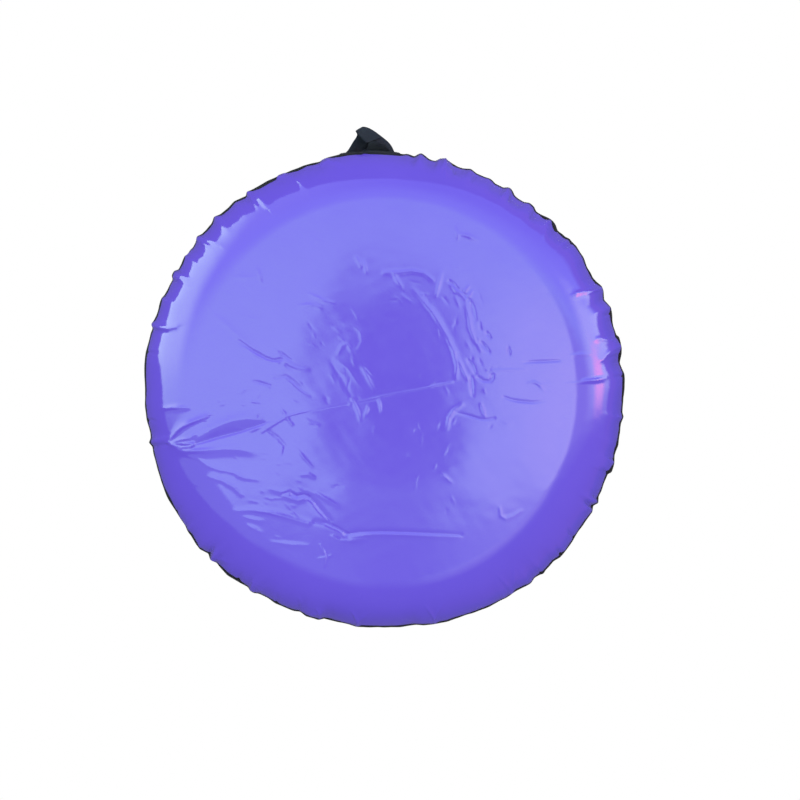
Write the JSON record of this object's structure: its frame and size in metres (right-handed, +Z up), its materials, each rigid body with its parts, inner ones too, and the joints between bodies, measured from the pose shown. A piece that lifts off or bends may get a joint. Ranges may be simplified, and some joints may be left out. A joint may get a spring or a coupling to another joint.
{
  "type": "snow tube",
  "caption": "Covered inflatable snow tube: slick round base, cloth cover with a tapered seat well, zip, carrying handles and a webbing tow loop.",
  "frame": {"origin": "on the floor under the middle of the whole length, from the back wall to the tip of the tow loop", "axes": "+Z up with the seat well open upwards and the slick base down, front with the tow loop towards -Y, zip at the back towards +Y"},
  "size_m": [1.0696, 1.1312, 0.2747],
  "materials": {
    "base_vinyl": "glossy slick coated vinyl, purple",
    "cover_cloth": "black coated nylon, plain weave",
    "seat_cloth": "black coated nylon, plain weave",
    "patch_cloth": "black coated nylon, stitched round",
    "grip_cloth": "black nylon sleeve over foam",
    "webbing": "black polyester webbing, ribbed weave",
    "zip_tape": "black woven tape",
    "butyl": "matt black butyl rubber",
    "valve_brass": "turned brass",
    "black_plastic": "black moulded plastic",
    "zip_metal": "black lacquered zinc"
  },
  "bodies": {
    "tube": {"base_panel": "base_vinyl", "top_cover": "cover_cloth", "well_wall": "cover_cloth", "seat_panel": "seat_cloth", "rim_seam_tape": "seat_cloth", "inner_tube": "butyl", "valve_stem": "butyl", "valve_insert": "valve_brass", "valve_core": "valve_brass", "zip_tape_upper": "zip_tape", "zip_tape_lower": "zip_tape", "zip_teeth_upper": "black_plastic", "zip_teeth_lower": "black_plastic", "zip_stop_left": "zip_metal", "zip_stop_right": "zip_metal", "zip_end_patch_left": "patch_cloth", "zip_end_patch_right": "patch_cloth", "handle_left_patch_front": "patch_cloth", "handle_left_patch_back": "patch_cloth", "handle_left_end_front": "webbing", "handle_left_end_back": "webbing", "handle_right_patch_front": "patch_cloth", "handle_right_patch_back": "patch_cloth", "handle_right_end_front": "webbing", "handle_right_end_back": "webbing", "tow_patch": "patch_cloth", "tow_end_left": "webbing", "tow_end_right": "webbing"},
    "handle_left": {"handle_left_loop": "webbing", "handle_left_grip": "grip_cloth"},
    "handle_right": {"handle_right_loop": "webbing", "handle_right_grip": "grip_cloth"},
    "tow": {"tow_loop": "webbing"},
    "slider": {"zip_slider": "zip_metal"},
    "pull": {"zip_pull": "zip_metal"},
    "cap": {"valve_cap": "black_plastic"},
    "pin": {"valve_pin": "valve_brass"}
  },
  "joints": [
    {"name": "handle_left_swing", "type": "hinge", "parent": "tube", "child": "handle_left", "pos_m": [0.41663, 0.03075, 0.26866], "axis": [0, -1, 0], "range_deg": [0, 140]},
    {"name": "handle_right_swing", "type": "hinge", "parent": "tube", "child": "handle_right", "pos_m": [-0.41663, 0.03075, 0.26866], "axis": [0, 1, 0], "range_deg": [0, 140]},
    {"name": "tow_loop_swing", "type": "hinge", "parent": "tube", "child": "tow", "pos_m": [0, -0.50756, 0.12774], "axis": [1, 0, 0], "range_deg": [-90, 90]},
    {"name": "zip_travel", "type": "hinge", "parent": "tube", "child": "slider", "pos_m": [0, 0.03075, 0.18], "axis": [0, 0, 1], "range_deg": [-98, 0]},
    {"name": "zip_pull_flip", "type": "hinge", "parent": "slider", "child": "pull", "pos_m": [-0.40156, 0.37736, 0.18249], "axis": [0.2589, -0.2235, 0.9397], "range_deg": [0, 170]},
    {"name": "valve_cap_draw", "type": "slide", "parent": "tube", "child": "cap", "axis": [0.0549, -0.8374, -0.5439], "range_m": [0, 0.009]},
    {"name": "valve_pin_press", "type": "slide", "parent": "tube", "child": "pin", "axis": [-0.0549, 0.8374, 0.5439], "range_m": [0, 0.0012], "stiffness_N_per_m": 250}
  ]
}
